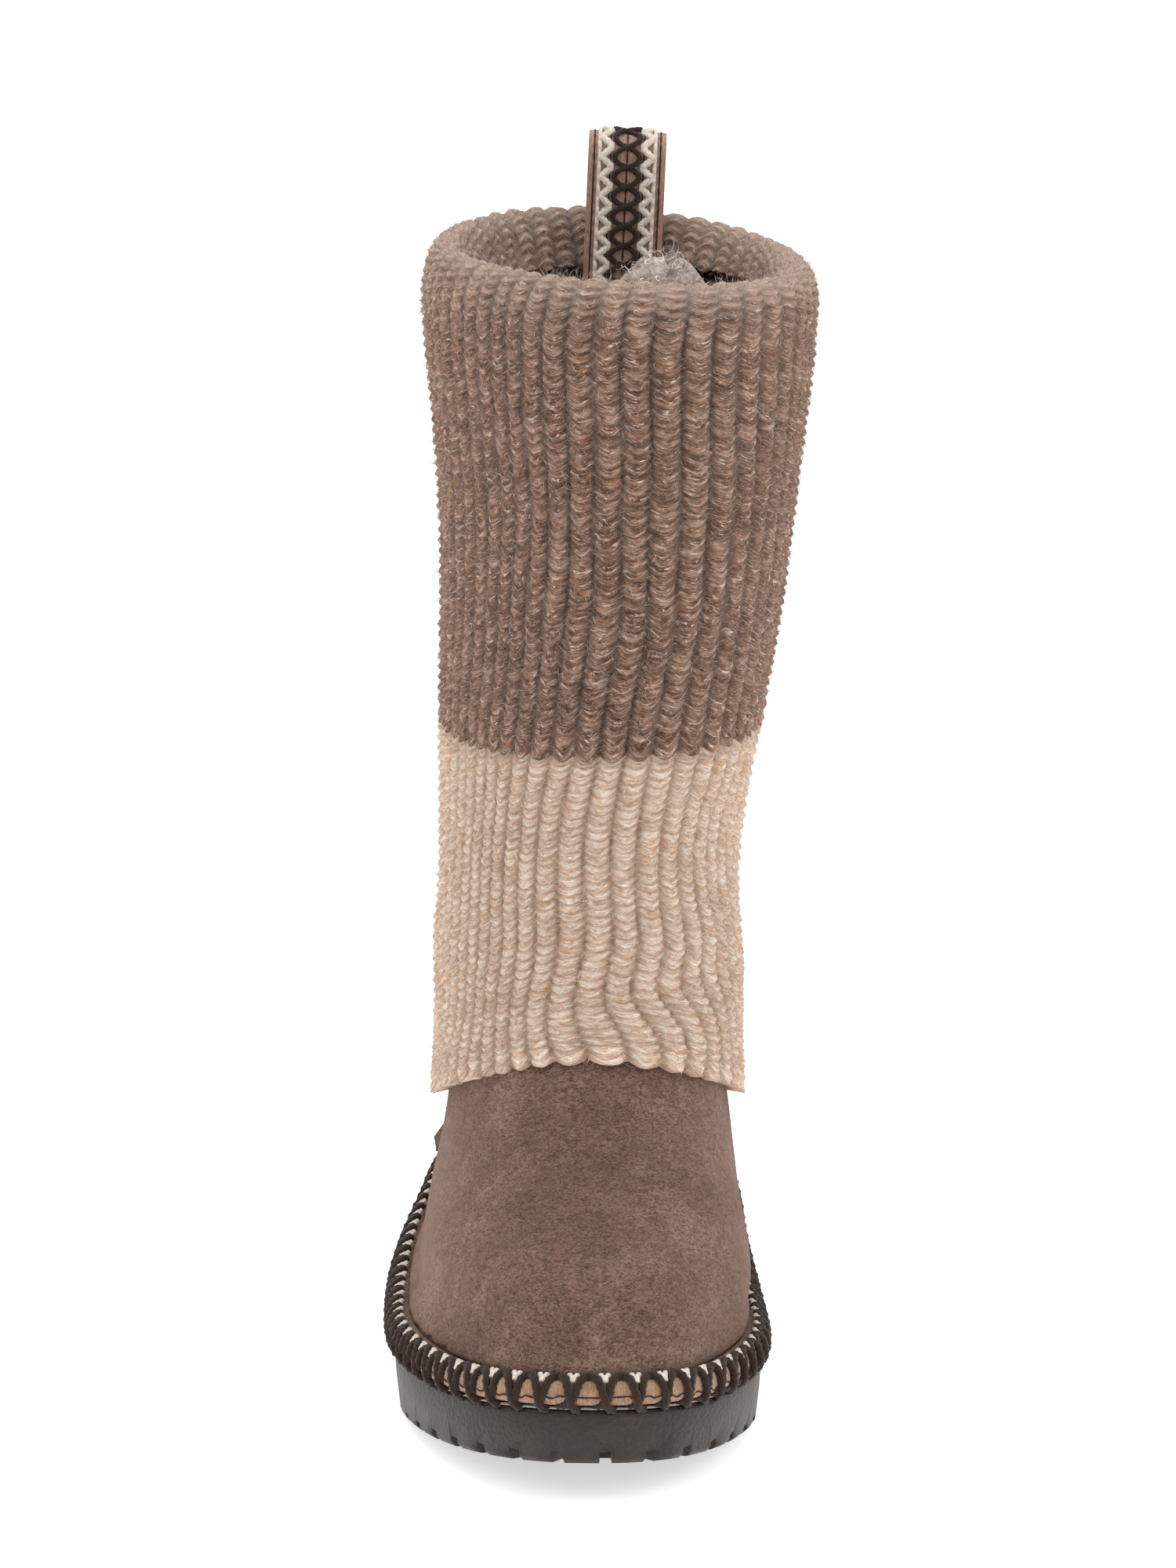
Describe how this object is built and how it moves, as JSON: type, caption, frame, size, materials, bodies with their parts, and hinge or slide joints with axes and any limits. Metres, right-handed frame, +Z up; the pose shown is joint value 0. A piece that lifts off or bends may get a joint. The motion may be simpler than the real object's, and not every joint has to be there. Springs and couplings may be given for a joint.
{
  "type": "mukluk boot",
  "caption": "Right pull-on boot with a suede foot and shaft, a ribbed knit sleeve, an embroidered band and a flat lugged sole.",
  "frame": {"origin": "middle of the boot's box, on the floor", "axes": "+Z up, the toe points along -Y, the outer side of the foot is towards -X"},
  "size_m": [0.1244, 0.268, 0.3485],
  "materials": {
    "rubber": "matt, finely pebbled dark grey-brown rubber",
    "felt": "pale felt",
    "braid": "tan ribbon embroidered in dark brown and cream",
    "suede": "taupe microfibre suede with a short nap",
    "fleece": "grey-white long-pile fleece",
    "knit": "chunky rib knit, brown marl above and oatmeal marl below",
    "label": "plain woven flap with a black inside"
  },
  "bodies": {
    "root": {"outsole": "rubber", "felt_edge": "felt", "embroidered_band": "braid", "upper": "suede", "footbed": "fleece", "knit_sleeve": "knit", "pull_loop": "braid", "side_label": "label"}
  },
  "joints": []
}
